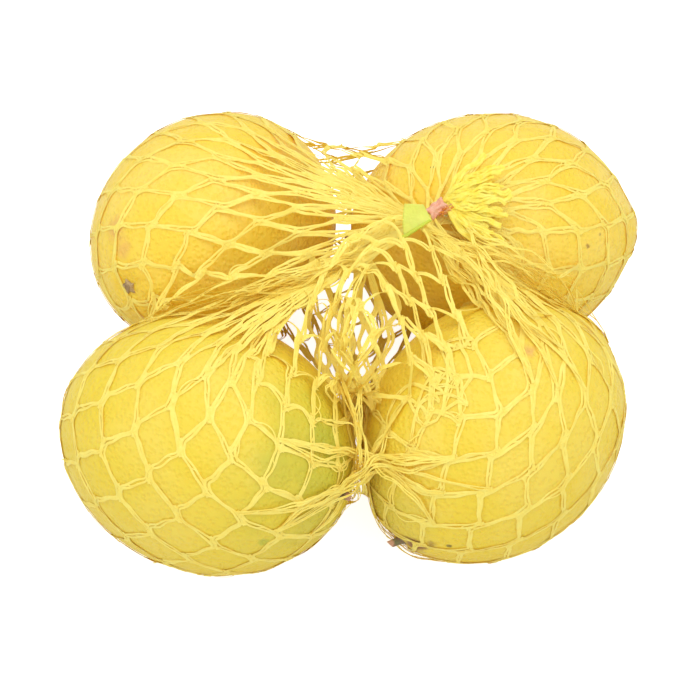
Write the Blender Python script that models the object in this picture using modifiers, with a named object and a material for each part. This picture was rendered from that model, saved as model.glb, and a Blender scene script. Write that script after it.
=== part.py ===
"""A small net of four lemons, gathered at the top by a clip that also holds a folded film tag.

The four lemons lie on the floor, two at the front and two at the back. The net is a closed bag round
them: it follows each lemon, spans the valleys between neighbours, and rises as a tent to the clip.
Net and lemons are one solid here, called filled_net. Metres, +Z up, front towards -Y.
"""

import math

import bmesh
import bpy
from mathutils import Matrix, Vector

MM = 0.001

# Each lemon: centre across and back, greatest radius, length, compass and rise of its stem end.
LEMONS = {
    "front_left": dict(x=-36.3, y=-34.8, radius=31.0, length=74.6, yaw=-28.0, pitch=4.6),
    "front_right": dict(x=33.6, y=-30.2, radius=29.8, length=69.8, yaw=223.3, pitch=-22.8),
    "back_left": dict(x=-36.3, y=34.6, radius=29.4, length=70.0, yaw=232.2, pitch=15.8),
    "back_right": dict(x=34.8, y=33.4, radius=30.4, length=71.4, yaw=180.4, pitch=-1.5),
}
NIPPLE_HEIGHT = 1.8
NIPPLE_SPREAD = 7.0
SHOULDER_HEIGHT = 0.9
SHOULDER_SPREAD = 9.0
PROFILE_STEPS = 18
ROUND_STEPS = 32
NET_THICKNESS = 0.8
REST_FLAT = 0.5

# Valleys that the net spans: the two lemons, and how much of each lemon's size the span reaches.
SPANS = (
    ("back_left", "back_right", 0.80),
    ("back_left", "front_left", 0.62),
    ("front_left", "front_right", 0.52),
    ("front_right", "back_right", 0.80),
)
SPAN_STEPS = 14
CORE_REACH = 0.55

# The gathered neck: where it meets the clip, and the line it follows over the back right lemon.
NECK_AT = (17.0, 15.0, 57.6)
NECK_LINE = (0.76, 0.54, 0.36)
NECK_RADIUS = 1.1
NECK_IN_CLIP = 1.5
NECK_STEPS = 16
TENT_FEET = {
    "front_left": (0.52, 0.40, 0.75),
    "front_right": (-0.40, 0.48, 0.78),
    "back_left": (0.62, -0.12, 0.78),
    "back_right": (-0.62, -0.66, 0.42),
}
FOOT_RADIUS = 5.0

CLIP_LENGTH = 5.6
CLIP_INNER = 1.45
CLIP_WALL = 0.5
CLIP_FLATTEN = 0.85
CLIP_STEPS = 28

TAG_SIZE = (7.4, 8.6)
TAG_THICKNESS = 0.5
TAG_FOLD = 1.3
TAG_TURN = (-50.0, 4.0, -6.0)
TAG_AT = (13.8, 10.5, 63.0)

TAIL_LENGTH = 11.0
TAIL_HALF_WIDTH = 10.0
TAIL_HALF_DEPTH = 2.0
TAIL_LINE = (0.90, -0.10, 0.10)
TAIL_OUT = (-0.22, -0.42, 0.88)
TAIL_ROUND = 28
TAIL_RINGS = 10
TAIL_PLEATS = 7
GAP = 0.35


def clear_scene():
    for obj in list(bpy.data.objects):
        bpy.data.objects.remove(obj)


def new_collection(name):
    made = bpy.data.collections.new(name)
    bpy.context.scene.collection.children.link(made)
    return made


def material(name, colour, roughness):
    made = bpy.data.materials.new(name)
    made.use_nodes = True
    shader = made.node_tree.nodes["Principled BSDF"]
    shader.inputs["Base Color"].default_value = (*colour, 1.0)
    shader.inputs["Roughness"].default_value = roughness
    made.diffuse_color = (*colour, 1.0)
    return made


def direction(yaw, pitch):
    yaw = math.radians(yaw)
    pitch = math.radians(pitch)
    return Vector((math.cos(yaw) * math.cos(pitch), math.sin(yaw) * math.cos(pitch), math.sin(pitch)))


def lemon_profile(radius, length, steps):
    """Points (r, z) from the stem end at the top to the nipple at the bottom."""
    points = []
    for step in range(steps + 1):
        turn = math.pi * step / steps
        r = radius * math.sin(turn)
        z = length / 2 * math.cos(turn)
        if turn <= math.pi / 2:
            z += SHOULDER_HEIGHT * math.exp(-((r / SHOULDER_SPREAD) ** 2))
        else:
            z -= NIPPLE_HEIGHT * math.exp(-((r / NIPPLE_SPREAD) ** 2))
        points.append((0.0 if step in (0, steps) else r, z))
    return points


def lemon_frame(lemon):
    """The lemon's own Z runs along its length. Its centre is low enough to leave a flat under it."""
    stem = direction(lemon["yaw"], lemon["pitch"])
    turn = Vector((0, 0, 1)).rotation_difference(stem).to_matrix()
    half = lemon["length"] / 2
    radius = lemon["radius"]
    low = math.sqrt(radius**2 * (1 - stem.z**2) + half**2 * stem.z**2)
    centre = Vector((lemon["x"], lemon["y"], low - REST_FLAT + NET_THICKNESS))
    return Matrix.Translation(centre * MM) @ turn.to_4x4()


def mesh_object(name, mesh, collection):
    made = bpy.data.objects.new(name, mesh)
    collection.objects.link(made)
    return made


def lemon_solid(name, lemon, collection):
    """A spun solid: half profile on the +X side, run top to bottom, and a Screw about Z."""
    profile = lemon_profile(lemon["radius"] + NET_THICKNESS, lemon["length"] + 2 * NET_THICKNESS, PROFILE_STEPS)
    points = [(r * MM, 0.0, z * MM) for r, z in profile]
    edges = [(i, i + 1) for i in range(len(points) - 1)]
    mesh = bpy.data.meshes.new(name)
    mesh.from_pydata(points, edges, [])
    made = mesh_object(name, mesh, collection)
    made.matrix_world = lemon_frame(lemon)
    screw = made.modifiers.new("spin", "SCREW")
    screw.steps = ROUND_STEPS
    screw.render_steps = ROUND_STEPS
    screw.use_merge_vertices = True
    screw.merge_threshold = 0.00001
    return made


def hull_object(name, points, collection):
    work = bmesh.new()
    for point in points:
        work.verts.new(point)
    made = bmesh.ops.convex_hull(work, input=work.verts)
    loose = [v for v in work.verts if not v.link_faces]
    bmesh.ops.delete(work, geom=loose, context="VERTS")
    bmesh.ops.recalc_face_normals(work, faces=work.faces)
    mesh = bpy.data.meshes.new(name)
    work.to_mesh(mesh)
    work.free()
    return mesh_object(name, mesh, collection)


def span_solid(label, names, reach, collection):
    """What the net closes off between lemons: the hull of a smaller copy of each."""
    points = []
    for name in names:
        lemon = LEMONS[name]
        place = lemon_frame(lemon)
        for r, z in lemon_profile(lemon["radius"] * reach, lemon["length"] * reach, SPAN_STEPS // 2):
            for step in range(SPAN_STEPS):
                turn = 2 * math.pi * step / SPAN_STEPS
                points.append(place @ (Vector((r * math.cos(turn), r * math.sin(turn), z)) * MM))
                if r == 0.0:
                    break
    return hull_object(label, points, collection)


def ring(centre, line, radius, steps, flatten=1.0):
    line = Vector(line).normalized()
    side = line.cross(Vector((0, 0, 1))).normalized()
    up = side.cross(line)
    found = []
    for step in range(steps):
        turn = 2 * math.pi * step / steps
        offset = side * radius * math.cos(turn) + up * radius * flatten * math.sin(turn)
        found.append((Vector(centre) + offset) * MM)
    return found


def surface_point(lemon, toward):
    """The point of the lemon's body that faces this way, and the way it faces."""
    stem = direction(lemon["yaw"], lemon["pitch"])
    toward = Vector(toward).normalized()
    along = stem * toward.dot(stem)
    across = toward - along
    half = lemon["length"] / 2
    radius = lemon["radius"]
    reach = math.sqrt(half**2 * along.length_squared + radius**2 * across.length_squared)
    offset = (along * half**2 + across * radius**2) / reach
    return lemon_frame(lemon).translation / MM + offset, toward


def tent_solid(collection):
    """From a foot on each lemon up to the neck, which runs on into the clip."""
    points = ring(NECK_AT, NECK_LINE, NECK_RADIUS, NECK_STEPS)
    for name, toward in TENT_FEET.items():
        foot, out = surface_point(LEMONS[name], toward)
        points += ring(foot + out * NET_THICKNESS * 0.6, out, FOOT_RADIUS, NECK_STEPS)
        points += ring(foot - out * 6.0, out, FOOT_RADIUS * 0.6, NECK_STEPS)
    return hull_object("tent", points, collection)


def neck_solid(collection):
    line = Vector(NECK_LINE).normalized()
    start = Vector(NECK_AT) - line * 1.5
    end = Vector(NECK_AT) + line * (NECK_IN_CLIP + CLIP_LENGTH * 0.5 - 0.4)
    points = ring(start, line, NECK_RADIUS * 0.98, NECK_STEPS) + ring(end, line, NECK_RADIUS * 0.98, NECK_STEPS)
    return hull_object("neck", points, collection)


def floor_cutter(collection):
    size = 0.4
    mesh = bpy.data.meshes.new("floor_cutter")
    work = bmesh.new()
    bmesh.ops.create_cube(work, size=size, matrix=Matrix.Translation((0, 0, -size / 2)))
    work.to_mesh(mesh)
    work.free()
    return mesh_object("floor_cutter", mesh, collection)


def boolean(target, other, operation):
    step = target.modifiers.new(f"{operation.lower()}_{other.name}", "BOOLEAN")
    step.operation = operation
    step.solver = "EXACT"
    step.object = other


def tube_object(name, rings, collection, closed_ends=True):
    """Joins rings of points into a solid. Without end caps, the last ring joins the first."""
    work = bmesh.new()
    rows = [[work.verts.new(point) for point in points] for points in rings]
    count = len(rows[0])
    pairs = list(zip(rows, rows[1:]))
    if not closed_ends:
        pairs.append((rows[-1], rows[0]))
    for lower, upper in pairs:
        for i in range(count):
            j = (i + 1) % count
            work.faces.new((lower[i], lower[j], upper[j], upper[i]))
    if closed_ends:
        work.faces.new(rows[0][::-1])
        work.faces.new(rows[-1])
    bmesh.ops.recalc_face_normals(work, faces=work.faces)
    mesh = bpy.data.meshes.new(name)
    work.to_mesh(mesh)
    work.free()
    return mesh_object(name, mesh, collection)


def clip_solid(collection):
    """A short flattened band pressed round the neck."""
    line = Vector(NECK_LINE).normalized()
    start = Vector(NECK_AT) + line * NECK_IN_CLIP
    end = start + line * CLIP_LENGTH
    outer = CLIP_INNER + CLIP_WALL
    rings = [
        ring(start, line, CLIP_INNER, CLIP_STEPS, CLIP_FLATTEN),
        ring(start, line, outer, CLIP_STEPS, CLIP_FLATTEN),
        ring(end, line, outer, CLIP_STEPS, CLIP_FLATTEN),
        ring(end, line, CLIP_INNER, CLIP_STEPS, CLIP_FLATTEN),
    ]
    return tube_object("clip", rings, collection, closed_ends=False)


def tag_solid(collection):
    """A slip of film, wider at its foot, with its lower edge folded under."""
    width, height = TAG_SIZE
    half = TAG_THICKNESS / 2
    outline = [
        (half, height * 0.52),
        (half, -height * 0.38),
        (half + 0.5, -height * 0.48),
        (half + TAG_FOLD, -height * 0.36),
        (TAG_FOLD, -height * 0.36 - TAG_THICKNESS),
        (half + 0.3, -height * 0.48 - TAG_THICKNESS),
        (-half, -height * 0.44),
        (-half, height * 0.52),
    ]
    turn = Matrix.Identity(3)
    for angle, axis in zip(TAG_TURN, "XYZ"):
        turn = Matrix.Rotation(math.radians(angle), 3, axis) @ turn
    rings = []
    for side in (-0.5, 0.5):
        points = []
        for depth, high in outline:
            reach = 0.72 + 0.34 * (0.5 - high / height)
            points.append((Vector(TAG_AT) + turn @ Vector((side * width * reach, depth, high))) * MM)
        rings.append(points)
    return tube_object("tag", rings, collection)


def tail_solid(collection):
    """The gathered net beyond the clip, spread out in pleats and lying on the back right lemon."""
    line = Vector(NECK_LINE).normalized()
    turned = Vector(TAIL_LINE).normalized()
    place = Vector(NECK_AT) + line * (NECK_IN_CLIP + CLIP_LENGTH * 0.5 + GAP)
    rings = []
    for step in range(TAIL_RINGS + 1):
        if step < 2:
            heading = line
            stride = (CLIP_LENGTH * 0.5 - GAP + 0.5) * step
            wide = deep = NECK_RADIUS * 0.98
            open_up = 0.0
        else:
            open_up = (step - 1) / (TAIL_RINGS - 1)
            heading = line.lerp(turned, min(1.0, open_up * 2.0)).normalized()
            stride = TAIL_LENGTH / (TAIL_RINGS - 1)
            wide = NECK_RADIUS + (TAIL_HALF_WIDTH - NECK_RADIUS) * math.sin(open_up * math.pi * 0.62) ** 1.2
            deep = NECK_RADIUS + (TAIL_HALF_DEPTH - NECK_RADIUS) * math.sin(open_up * math.pi * 0.8)
        place = place + heading * stride
        side = heading.cross(Vector(TAIL_OUT)).normalized()
        up = side.cross(heading).normalized()
        points = []
        for i in range(TAIL_ROUND):
            turn = 2 * math.pi * i / TAIL_ROUND
            swell = 1.0 + 0.16 * open_up * math.sin(TAIL_PLEATS * turn + 1.3)
            sag = -0.5 * open_up * math.cos(turn) ** 2
            offset = side * wide * swell * math.cos(turn) + up * (deep * swell * math.sin(turn) + sag)
            points.append((place + offset) * MM)
        rings.append(points)
    return tube_object("net_tail", rings, collection)


def finish(obj, surface):
    if not obj.data.materials:
        obj.data.materials.append(surface)


def build():
    clear_scene()
    shown = new_collection("net_of_lemons")
    helpers = new_collection("helpers")
    helpers.hide_render = True

    names = list(LEMONS)
    body = lemon_solid("filled_net", LEMONS[names[0]], shown)
    others = [lemon_solid(f"lemon_{name}", LEMONS[name], helpers) for name in names[1:]]
    for first, second, reach in SPANS:
        others.append(span_solid(f"span_{first}_{second}", (first, second), reach, helpers))
    others.append(span_solid("core", names, CORE_REACH, helpers))
    others += [tent_solid(helpers), neck_solid(helpers)]
    for other in others:
        boolean(body, other, "UNION")
    cutter = floor_cutter(helpers)
    boolean(body, cutter, "DIFFERENCE")
    for helper in others + [cutter]:
        helper.hide_render = True
        helper.display_type = "WIRE"

    finish(body, material("net_and_peel", (0.93, 0.72, 0.13), 0.45))
    finish(clip_solid(shown), material("clip_plastic", (0.86, 0.42, 0.28), 0.4))
    finish(tag_solid(shown), material("tag_film", (0.62, 0.78, 0.12), 0.35))
    finish(tail_solid(shown), material("net_yarn", (0.95, 0.76, 0.08), 0.45))


build()
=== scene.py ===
"""Four lemons in a knitted net, gathered to a clip with a film tag and a ruffled tail, on a pale floor."""

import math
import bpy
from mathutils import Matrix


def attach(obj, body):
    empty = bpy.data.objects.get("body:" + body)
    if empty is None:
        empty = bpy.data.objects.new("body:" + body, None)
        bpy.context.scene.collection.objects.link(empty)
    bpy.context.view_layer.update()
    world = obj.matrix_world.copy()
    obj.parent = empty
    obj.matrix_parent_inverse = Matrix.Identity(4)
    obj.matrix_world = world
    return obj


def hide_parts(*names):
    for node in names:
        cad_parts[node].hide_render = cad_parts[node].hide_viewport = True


bl_info = {
    "name": "Net of Lemons",
    "version": (1, 0, 0),
    "blender": (4, 5, 0),
    "location": "View3D > Sidebar > Lemon Net",
    "description": "Makes four lemons in a knitted net, closed with a clip and a film tag",
    "category": "Add Mesh",
}

import bpy
import numpy as np
from mathutils import Vector

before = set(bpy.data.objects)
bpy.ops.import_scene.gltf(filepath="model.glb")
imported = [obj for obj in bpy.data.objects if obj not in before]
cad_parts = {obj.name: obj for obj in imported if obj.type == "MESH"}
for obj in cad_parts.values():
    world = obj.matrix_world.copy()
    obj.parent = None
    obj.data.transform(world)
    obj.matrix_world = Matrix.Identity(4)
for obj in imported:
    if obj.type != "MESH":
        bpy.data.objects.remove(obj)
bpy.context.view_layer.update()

MM = 0.001
BODY = "root"
LEMON_NAMES = ("front_left", "front_right", "back_left", "back_right")


# ---------------------------------------------------------------- settings


def length(name, description, default):
    """A size in metres."""
    return bpy.props.FloatProperty(
        name=name, description=description, default=default, unit="LENGTH", precision=5
    )


def place(name, description, default):
    """A point in metres."""
    return bpy.props.FloatVectorProperty(
        name=name, description=description, default=default, subtype="TRANSLATION", unit="LENGTH"
    )


def turn(name, description, default):
    """Heading and tilt, typed in degrees."""
    return bpy.props.FloatVectorProperty(
        name=name,
        description=description,
        size=2,
        default=[math.radians(angle) for angle in default],
        unit="ROTATION",
    )


def size(name, description, default):
    """Radius and length in metres."""
    return bpy.props.FloatVectorProperty(
        name=name, description=description, size=2, default=default, unit="LENGTH"
    )


def colour(name, description, default):
    """A colour, as linear red, green and blue."""
    return bpy.props.FloatVectorProperty(
        name=name, description=description, default=default, subtype="COLOR", min=0.0, max=1.0
    )


class LemonSettings(bpy.types.PropertyGroup):
    """Sizes and places of the lemons."""

    front_left_at: place("Front left", "Middle of the front left lemon", (-0.0363, -0.0348, 0.0))
    front_left_size: size("Front left size", "Radius and length", (0.0310, 0.0746))
    front_left_turn: turn("Front left turn", "Heading and tilt of the stem end", (-28.0, 4.6))
    front_right_at: place("Front right", "Middle of the front right lemon", (0.0336, -0.0302, 0.0))
    front_right_size: size("Front right size", "Radius and length", (0.0298, 0.0698))
    front_right_turn: turn("Front right turn", "Heading and tilt of the stem end", (223.3, -22.8))
    back_left_at: place("Back left", "Middle of the back left lemon", (-0.0363, 0.0346, 0.0))
    back_left_size: size("Back left size", "Radius and length", (0.0294, 0.0700))
    back_left_turn: turn("Back left turn", "Heading and tilt of the stem end", (232.2, 15.8))
    back_right_at: place("Back right", "Middle of the back right lemon", (0.0348, 0.0334, 0.0))
    back_right_size: size("Back right size", "Radius and length", (0.0304, 0.0714))
    back_right_turn: turn("Back right turn", "Heading and tilt of the stem end", (180.4, -1.5))
    floor_gap: length("Floor gap", "Height of the lemons over the floor", 0.0003)
    nipple: length("Nipple", "Height of the point at the blossom end", 0.0018)
    shoulder: length("Shoulder", "Height of the collar round the stem", 0.0009)


class PeelSettings(bpy.types.PropertyGroup):
    """Colours and grain of the peel."""

    lemon: colour("Lemon yellow", "Main colour of the peel", (0.92, 0.66, 0.055))
    pale: colour("Pale yellow", "Lighter clouds in the peel", (0.95, 0.70, 0.12))
    fresh: colour("Fresh yellow", "Greener yellow of the less ripe lemons", (0.74, 0.62, 0.03))
    # The peel is mixed to this colour in its pores and fine clouds, and as painted shade low down on each
    # lemon and in one stem dimple.
    ripe_and_painted_shade: colour("Ripe yellow", "Deeper colour in the pores and hollows", (0.90, 0.58, 0.02))
    green: colour("Green", "Unripe blush", (0.50, 0.49, 0.045))
    brown: colour("Brown", "Rubbed places and scars", (0.30, 0.13, 0.035))
    scuff: colour("Scuff", "Faint tan bruises", (0.80, 0.45, 0.11))
    dark: colour("Dark", "Small dark specks", (0.05, 0.03, 0.015))
    pore_spacing: length("Pore spacing", "Distance between the oil pores", 0.0012)


class NetSettings(bpy.types.PropertyGroup):
    """Make of the net."""

    around: bpy.props.IntProperty(name="Around", description="Joins in one row of the net", default=46)
    rows: bpy.props.IntProperty(name="Rows", description="Rows from the neck to the bottom", default=23)
    pitch: length("Pitch", "From one join to the next", 0.0102)
    join: length("Join", "Length over which two cords are knitted together", 0.0024)
    cord_width: length("Cord width", "Width of one knitted cord", 0.0014)
    film_width: length("Film width", "Width of the film that the cord is knitted from", 0.00064)
    twist: bpy.props.FloatProperty(
        name="Twist",
        description="Turn of the net from the neck to the bottom",
        default=math.radians(50.0),
        unit="ROTATION",
    )
    neck_at: place("Neck", "Where the net goes into the clip", (0.0185, 0.0160, 0.0583))
    bottom_at: place("Bottom", "Where the net is drawn together underneath", (-0.010, -0.030, 0.0035))
    yellow: colour("Net yellow", "Colour of the knitted film", (1.0, 0.875, 0.19))


class ClosureSettings(bpy.types.PropertyGroup):
    """Clip, tag and tail."""

    line: bpy.props.FloatVectorProperty(
        name="Clip line", description="Direction of the neck through the clip", default=(0.76, 0.54, 0.36)
    )
    clip_start: place("Clip start", "Middle of the end of the clip at the net", (0.0181, 0.0158, 0.0581))
    clip_length: length("Clip length", "Length of the clip along the neck", 0.0050)
    clip_radius: length("Clip radius", "Outside of the clip", 0.0018)
    clip_flat: bpy.props.FloatProperty(
        name="Clip flatness", description="Height of the clip over its width", default=0.85
    )
    clip_wall: length("Clip wall", "Thickness of the clip", 0.0004)
    tail_length: length("Tail length", "How far the tail reaches from the clip", 0.0110)
    tail_width: length("Tail width", "Half the spread of the tail", 0.0100)
    clip_pink: colour("Clip pink", "Colour of the clip", (0.80, 0.34, 0.21))
    # The paler pink stands for highlights on the crumpled foil: painted highlight.
    clip_painted_highlight: colour("Clip pale", "Colour of the clip's ridges", (0.88, 0.52, 0.36))
    fray_orange: colour("Fray orange", "Colour of the torn tape at the clip", (0.80, 0.29, 0.015))
    fray_pink: colour("Fray pink", "Paler parts of the torn tape", (0.90, 0.52, 0.25))
    fray_green: colour("Fray green", "Green parts of the torn tape", (0.62, 0.70, 0.28))
    tag_at: place("Tag", "Middle of the film tag", (0.0142, 0.0112, 0.0636))
    tag_film: length("Tag film", "Thickness of the tag", 0.00012)
    tag_lime: colour("Tag lime", "Colour of the film tag", (0.74, 0.77, 0.115))
    tag_fold: colour("Tag fold", "Colour where the film lies double", (0.58, 0.66, 0.04))
    tail_yellow: colour("Tail yellow", "Colour of the bunched film", (1.0, 0.92, 0.17))
    tail_deep: colour("Tail deep", "Deeper colour in the bunched film", (1.0, 0.79, 0.03))
    stem_green: colour("Stem green", "Colour of the stem star", (0.20, 0.19, 0.085))
    stem_brown: colour("Stem brown", "Colour of its dry edge", (0.26, 0.14, 0.08))
    stem_cut: colour("Stem cut", "Colour of the cut stem", (0.62, 0.34, 0.22))
    dry_tan: colour("Dry tan", "Colour of the star that has lost its stem", (0.52, 0.37, 0.17))
    dry_brown: colour("Dry brown", "Darker colour of that star", (0.32, 0.21, 0.10))


class StageSettings(bpy.types.PropertyGroup):
    """Floor, light and camera."""

    floor: colour("Floor", "Colour of the floor", (0.78, 0.78, 0.78))
    floor_glow: bpy.props.FloatProperty(
        name="Floor glow", description="How far the floor is lifted to white", default=0.82
    )
    sky: bpy.props.FloatProperty(
        name="Sky", description="Strength of the even light from all round", default=0.80
    )
    look_at: place("Look at", "Point that the camera faces", (-0.0015, -0.0044, 0.030))
    distance: length("Distance", "From the camera to that point", 0.80)
    elevation: bpy.props.FloatProperty(
        name="Elevation", description="Camera over the horizon", default=math.radians(52.0), unit="ROTATION"
    )
    lens: bpy.props.FloatProperty(name="Lens", description="Focal length", default=164.57, unit="CAMERA")


# ---------------------------------------------------------------- shader words


class Value:
    """A number socket that can be added, taken away and multiplied."""

    def __init__(self, finish, socket):
        self.finish = finish
        self.socket = socket

    def _sum(self, operation, first, second):
        return self.finish.node("ShaderNodeMath", {"operation": operation}, {0: first, 1: second})

    def __add__(self, other):
        return self._sum("ADD", self, other)

    __radd__ = __add__

    def __sub__(self, other):
        return self._sum("SUBTRACT", self, other)

    def __rsub__(self, other):
        return self._sum("SUBTRACT", other, self)

    def __mul__(self, other):
        return self._sum("MULTIPLY", self, other)

    __rmul__ = __mul__

    def ramp(self, low, high):
        """0 at low, 1 at high, smooth between; low may be over high."""
        return self.finish.node(
            "ShaderNodeMapRange",
            {"interpolation_type": "SMOOTHSTEP"},
            {"Value": self, "From Min": low, "From Max": high},
        )


class Finish:
    """One procedural material, built round a Principled shader."""

    def __init__(self, name, **constants):
        self.material = bpy.data.materials.new(name)
        self.material.use_nodes = True
        self.tree = self.material.node_tree
        self.shader = self.tree.nodes["Principled BSDF"]
        for label, value in constants.items():
            self.shader.inputs[label.replace("_", " ").title().replace("Ior", "IOR")].default_value = value
        self.at = self.node("ShaderNodeTexCoord", output="Object")

    def node(self, kind, settings=None, inputs=None, output=0):
        """Adds a node, sets its settings, then the values or links of its sockets."""
        made = self.tree.nodes.new(kind)
        for key, value in (settings or {}).items():
            setattr(made, key, value)
        for key, value in (inputs or {}).items():
            if isinstance(value, Value):
                self.tree.links.new(value.socket, made.inputs[key])
            elif value is not None:
                made.inputs[key].default_value = value
        return Value(self, made.outputs[output])

    def noise(self, size_mm, detail=2.0, roughness=0.5):
        """Cloudy noise with features of this size, 0 to 1."""
        scale = 1.0 / (size_mm * MM)
        inputs = {"Vector": self.at, "Scale": scale, "Detail": detail, "Roughness": roughness}
        return self.node("ShaderNodeTexNoise", inputs=inputs)

    def cells(self, size_mm, at):
        """Distance to the nearest point of a scatter of that spacing."""
        inputs = {"Vector": at, "Scale": 1.0 / (size_mm * MM)}
        return self.node("ShaderNodeTexVoronoi", inputs=inputs, output="Distance")

    def shifted(self, amount_mm, size_mm):
        """The place on the piece, pushed about by noise."""
        cloud = self.node(
            "ShaderNodeTexNoise",
            inputs={"Vector": self.at, "Scale": 1.0 / (size_mm * MM), "Detail": 2.0},
            output="Color",
        )
        centred = self.vector("SUBTRACT", cloud, (0.5, 0.5, 0.5))
        scaled = self.vector("MULTIPLY", centred, (2.0 * amount_mm * MM,) * 3)
        return self.vector("ADD", self.at, scaled)

    def vector(self, operation, first, second, output=0):
        return self.node("ShaderNodeVectorMath", {"operation": operation}, {0: first, 1: second}, output)

    def distance(self, first, point_mm):
        """Metres from a point of the piece."""
        return self.vector("DISTANCE", first, tuple(c * MM for c in point_mm), "Value")

    def mix(self, factor, first, second):
        """From the first colour to the second."""
        first, second = (c if isinstance(c, Value) else (*c[:3], 1.0) for c in (first, second))
        # The sockets of a Mix node set to colours: 0 is the factor, 6 and 7 the colours, 2 the result.
        return self.node("ShaderNodeMix", {"data_type": "RGBA"}, {0: factor, 6: first, 7: second}, 2)

    def join(self, socket, value):
        """Links a value to a socket of the shader."""
        self.tree.links.new(value.socket, self.shader.inputs[socket])

    def let_through(self, share, colour):
        """Makes this share of the surface show the light behind it."""
        behind = self.node("ShaderNodeBsdfTranslucent", inputs={"Color": colour})
        both = self.node("ShaderNodeMixShader", inputs={0: share, 2: behind})
        self.tree.links.new(self.shader.outputs[0], both.socket.node.inputs[1])
        self.tree.links.new(both.socket, self.tree.nodes["Material Output"].inputs["Surface"])

    def bump(self, height, depth_mm, strength=1.0, normal=None):
        """A Bump node whose height of 1 stands this far out."""
        return self.node(
            "ShaderNodeBump",
            inputs={"Strength": strength, "Distance": depth_mm * MM, "Height": height, "Normal": normal},
        )


def give(piece, finish):
    """Puts the finish on the whole piece."""
    piece.data.materials.clear()
    piece.data.materials.append(finish.material)


# ---------------------------------------------------------------- lemon shape

# Clearances in millimetres: peel from the floor, film from the floor, film from the peel, and the
# middle of a settling cord from the peel and from the floor.
PEEL_OFF_FLOOR = 0.12
FILM_OFF_FLOOR = 0.04
FILM_OFF_PEEL = 0.03
CORD_OFF_PEEL = 0.15
CORD_OFF_FLOOR = 0.1
# Both ends of a lemon: depth of the dimple, and how far it and the rise round it reach, in millimetres.
STEM_DIMPLE, STEM_DIMPLE_REACH, COLLAR_REACH = 1.2, 3.2, 9.0
TIP_DIMPLE, TIP_DIMPLE_REACH, NIPPLE_REACH = 0.35, 1.6, 7.0
# Creases round the ends: height over the lemon's radius, distance from its axis and reach.
CREASE_HEIGHT, CREASE_AT, CREASE_REACH = 0.0028, 7.0, 4.5
# Height of each of the broad lumps in the peel, over the lemon's radius.
LUMP_HEIGHT = 0.0022


def mesh_points(mesh):
    """The points of a mesh in its own units, one row each."""
    points = np.empty(len(mesh.vertices) * 3)
    mesh.vertices.foreach_get("co", points)
    return points.reshape(-1, 3)


def move_points(mesh, points):
    """Puts the points of a mesh where they are given in millimetres."""
    mesh.vertices.foreach_set("co", (points * MM).ravel())
    mesh.update()


def part_of(value, full):
    """The value as a share of the full one, from 0 to 1."""
    return np.clip(value / full, 0.0, 1.0)


def unit(vector):
    """The vector at a length of 1."""
    vector = np.asarray(vector, float)
    return vector / math.sqrt(float((vector * vector).sum()))


def turned(vectors, rows):
    """Vectors times a 3 by 3 matrix, written out so that every computer rounds it alike."""
    return vectors[..., :1] * rows[0] + vectors[..., 1:2] * rows[1] + vectors[..., 2:] * rows[2]


def lengths(vectors):
    """Length of each vector, kept as a column."""
    return np.sqrt((vectors * vectors).sum(axis=-1, keepdims=True)) + 1e-9


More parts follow.
